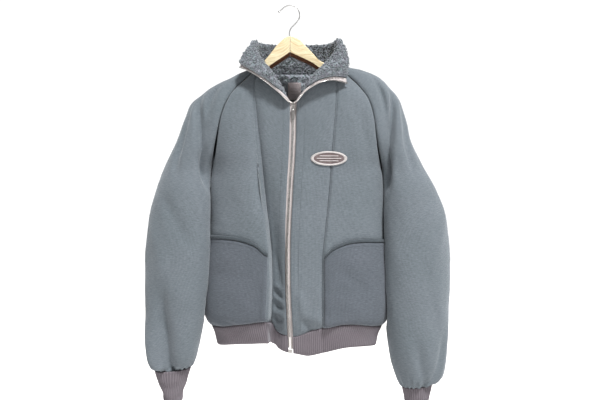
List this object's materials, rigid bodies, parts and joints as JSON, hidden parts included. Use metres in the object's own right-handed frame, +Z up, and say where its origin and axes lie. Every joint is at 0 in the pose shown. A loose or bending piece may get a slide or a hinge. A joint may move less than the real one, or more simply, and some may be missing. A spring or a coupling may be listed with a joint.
{
  "type": "pile jacket on hanger",
  "caption": "Zip-front raglan jacket with pile-lined collar, patch pockets and ribbed hem and cuffs, hanging on a wooden hanger with a wire hook.",
  "frame": {"origin": "inner top of the hanger's hook, where a rail carries it", "axes": "+Z up, -Y the front of the jacket, +X to the viewer's right"},
  "size_m": [0.6781, 0.1979, 0.933],
  "materials": {
    "knit": "matte thick knit, blue grey",
    "rib": "matte rib knit, mauve grey",
    "pile": "curly pile, dark grey",
    "binding": "matte knit binding, blue grey",
    "zip_tape": "woven tape, pale taupe",
    "label": "matte woven label, plain",
    "loop": "woven tape, nearly black",
    "badge": "stitched cloth badge, pale with a taupe middle",
    "metal": "worn zip metal",
    "hook_metal": "bright round wire",
    "wood": "pale wood, satin varnish"
  },
  "bodies": {
    "jacket": {"front_centre_left": "knit", "front_side_left": "knit", "front_centre_right": "knit", "front_side_right": "knit", "back": "knit", "sleeve_left": "knit", "sleeve_right": "knit", "cuff_left": "rib", "cuff_right": "rib", "hem_rib": "rib", "pocket_left": "knit", "pocket_band_left": "binding", "pocket_right": "knit", "pocket_band_right": "binding", "collar_shell": "knit", "collar_pile": "pile", "back_lining": "pile", "neck_label": "label", "neck_loop": "loop", "zip_left": "zip_tape", "zip_right": "zip_tape", "zip_slider": "metal", "zip_box": "metal", "zip_stop_left": "metal", "zip_stop_right": "metal", "badge": "badge", "hanger": "wood", "hanger_hook": "hook_metal"},
    "pull_tab": {"zip_pull": "metal"}
  },
  "joints": [
    {"name": "pull_tab_hinge", "type": "hinge", "parent": "jacket", "child": "pull_tab", "pos_m": [0.00804, -0.08971, -0.252], "axis": [-1, 0, 0], "range_deg": [0, 150]}
  ]
}
